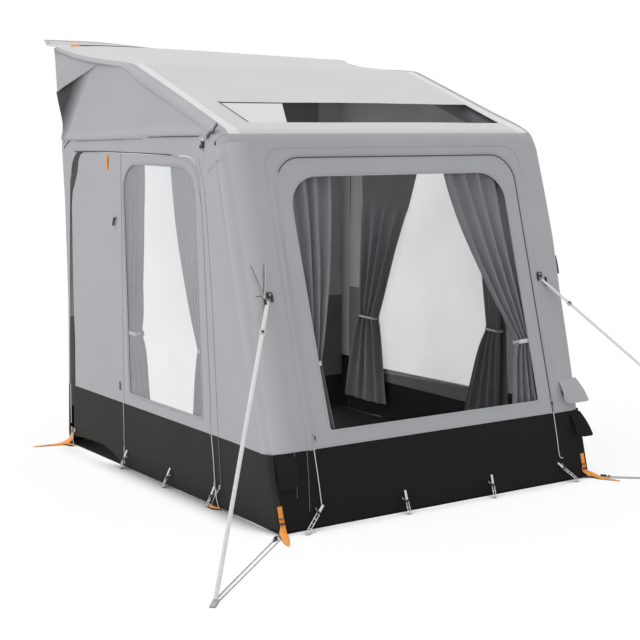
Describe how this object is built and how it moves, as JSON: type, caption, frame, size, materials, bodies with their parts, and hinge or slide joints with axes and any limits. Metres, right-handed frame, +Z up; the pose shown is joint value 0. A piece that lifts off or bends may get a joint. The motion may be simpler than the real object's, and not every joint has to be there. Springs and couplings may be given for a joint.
{
  "type": "caravan porch awning",
  "caption": "Sloping porch awning on inflated poles, with a windowed front panel, side windows, a zipped side door, skylight, curtains, skirts, pegging ladders and guy straps.",
  "frame": {"origin": "on the ground, under the middle of the awning's own extent without its guy lines", "axes": "+Z up from the ground; +Y from the front wall towards the caravan; +X to the right as seen from the front"},
  "size_m": [3.59, 3.1295, 2.3897],
  "materials": {
    "grey_cloth": "coated woven polyester, matt",
    "light_cloth": "coated ripstop polyester, matt",
    "black_cloth": "PVC-coated skirt cloth, low gloss",
    "curtain_cloth": "thin woven curtain cloth",
    "pole_cloth": "woven sleeve over an inflated tube",
    "clear_film": "clear PVC film",
    "black_plastic": "moulded nylon",
    "white_plastic": "moulded nylon",
    "track_plastic": "extruded PVC",
    "pale_webbing": "woven webbing",
    "orange_webbing": "woven webbing",
    "slider_steel": "plated zip slider"
  },
  "bodies": {
    "shell": {"front_roof": "light_cloth", "rear_roof": "light_cloth", "skylight_film": "clear_film", "front_surround": "grey_cloth", "front_skirt": "black_cloth", "left_surround": "grey_cloth", "left_window_panel": "grey_cloth", "left_window_film": "clear_film", "left_skirt": "black_cloth", "right_surround": "grey_cloth", "rail_strip": "light_cloth", "left_air_pole": "pole_cloth", "right_air_pole": "pole_cloth", "eave_air_pole": "pole_cloth", "ridge_air_pole": "pole_cloth", "left_curtain_track": "track_plastic", "inflation_valve": "black_plastic", "left_front_strap": "orange_webbing", "right_front_strap": "orange_webbing", "left_rear_strap": "orange_webbing", "right_rear_strap": "orange_webbing", "left_guy_strap": "pale_webbing", "right_guy_strap": "pale_webbing", "left_guy_end": "white_plastic", "right_guy_end": "white_plastic", "left_return_line": "pale_webbing", "right_return_line": "pale_webbing", "front_ladder_1": "pale_webbing", "front_ladder_2": "pale_webbing", "front_ladder_3": "pale_webbing", "front_ladder_4": "pale_webbing", "left_ladder_1": "pale_webbing", "left_ladder_2": "pale_webbing", "left_ladder_3": "pale_webbing", "right_ladder_1": "pale_webbing"},
    "blind": {"skylight_blind": "light_cloth"},
    "front_panel": {"front_panel": "grey_cloth", "front_window_film": "clear_film", "front_curtain_track": "track_plastic"},
    "front_left_curtain": {"front_left_curtain": "curtain_cloth"},
    "front_right_curtain": {"front_right_curtain": "curtain_cloth"},
    "left_front_slider": {"left_front_slider": "slider_steel"},
    "right_front_slider": {"right_front_slider": "slider_steel"},
    "left_door": {"left_door": "grey_cloth"},
    "right_panel": {"right_side_panel": "grey_cloth", "right_skirt": "black_cloth", "right_window_film": "clear_film", "right_curtain_track": "track_plastic", "right_ladder_2": "pale_webbing", "right_ladder_3": "pale_webbing"},
    "left_front_curtain": {"left_front_curtain": "curtain_cloth"},
    "left_rear_curtain": {"left_rear_curtain": "curtain_cloth"},
    "right_front_curtain": {"right_front_curtain": "curtain_cloth"},
    "right_rear_curtain": {"right_rear_curtain": "curtain_cloth"},
    "left_skirt_flap": {"left_skirt_flap": "black_cloth"},
    "right_skirt_flap": {"right_skirt_flap": "black_cloth"},
    "valve_flap": {"valve_flap": "light_cloth"},
    "valve_cap": {"valve_cap": "black_plastic"},
    "left_tensioner": {"left_tensioner": "white_plastic"},
    "right_tensioner": {"right_tensioner": "white_plastic"}
  },
  "joints": [
    {"name": "blind_slide", "type": "slide", "parent": "shell", "child": "blind", "axis": [1, 0, 0], "range_m": [0, 1.15]},
    {"name": "front_panel_hinge", "type": "hinge", "parent": "shell", "child": "front_panel", "pos_m": [0, -1.03027, 0.36], "axis": [1, 0, 0], "range_deg": [0, 115]},
    {"name": "front_left_curtain_slide", "type": "slide", "parent": "front_panel", "child": "front_left_curtain", "axis": [1, 0, 0], "range_m": [0, 0.3]},
    {"name": "front_right_curtain_slide", "type": "slide", "parent": "front_panel", "child": "front_right_curtain", "axis": [-1, 0, 0], "range_m": [0, 0.3]},
    {"name": "left_front_slider_slide", "type": "slide", "parent": "front_panel", "child": "left_front_slider", "axis": [0, 0.2707, 0.9627], "range_m": [0, 1.202]},
    {"name": "right_front_slider_slide", "type": "slide", "parent": "front_panel", "child": "right_front_slider", "axis": [0, 0.2707, 0.9627], "range_m": [0, 1.202]},
    {"name": "left_door_hinge", "type": "hinge", "parent": "shell", "child": "left_door", "pos_m": [-1, 0.4835, 0], "axis": [0, 0, 1], "range_deg": [0, 95]},
    {"name": "right_panel_hinge", "type": "hinge", "parent": "shell", "child": "right_panel", "pos_m": [1, 1.1085, 0], "axis": [0, 0, 1], "range_deg": [0, 95]},
    {"name": "left_front_curtain_slide", "type": "slide", "parent": "shell", "child": "left_front_curtain", "axis": [0, 1, 0], "range_m": [0, 0.13]},
    {"name": "left_rear_curtain_slide", "type": "slide", "parent": "shell", "child": "left_rear_curtain", "axis": [0, -1, 0], "range_m": [0, 0.13]},
    {"name": "right_front_curtain_slide", "type": "slide", "parent": "right_panel", "child": "right_front_curtain", "axis": [0, 1, 0], "range_m": [0, 0.14]},
    {"name": "right_rear_curtain_slide", "type": "slide", "parent": "right_panel", "child": "right_rear_curtain", "axis": [0, -1, 0], "range_m": [0, 0.14]},
    {"name": "left_skirt_flap_hinge", "type": "hinge", "parent": "shell", "child": "left_skirt_flap", "pos_m": [0, -1.03605, 0.34708], "axis": [-1, 0, 0], "range_deg": [0, 100]},
    {"name": "right_skirt_flap_hinge", "type": "hinge", "parent": "shell", "child": "right_skirt_flap", "pos_m": [0, -1.03605, 0.34708], "axis": [-1, 0, 0], "range_deg": [0, 100]},
    {"name": "valve_flap_hinge", "type": "hinge", "parent": "shell", "child": "valve_flap", "pos_m": [0, -0.97643, 0.55885], "axis": [-1, 0, 0], "range_deg": [0, 100]},
    {"name": "valve_cap_turn", "type": "hinge", "parent": "shell", "child": "valve_cap", "pos_m": [0.925, -1.01409, 0.46037], "axis": [0, -0.9627, 0.2707], "range_deg": [0, 90]},
    {"name": "left_tensioner_slide", "type": "slide", "parent": "shell", "child": "left_tensioner", "axis": [-0.516, -0.5688, -0.6405], "range_m": [0, 0.6]},
    {"name": "right_tensioner_slide", "type": "slide", "parent": "shell", "child": "right_tensioner", "axis": [0.516, -0.5688, -0.6405], "range_m": [0, 0.6]}
  ]
}
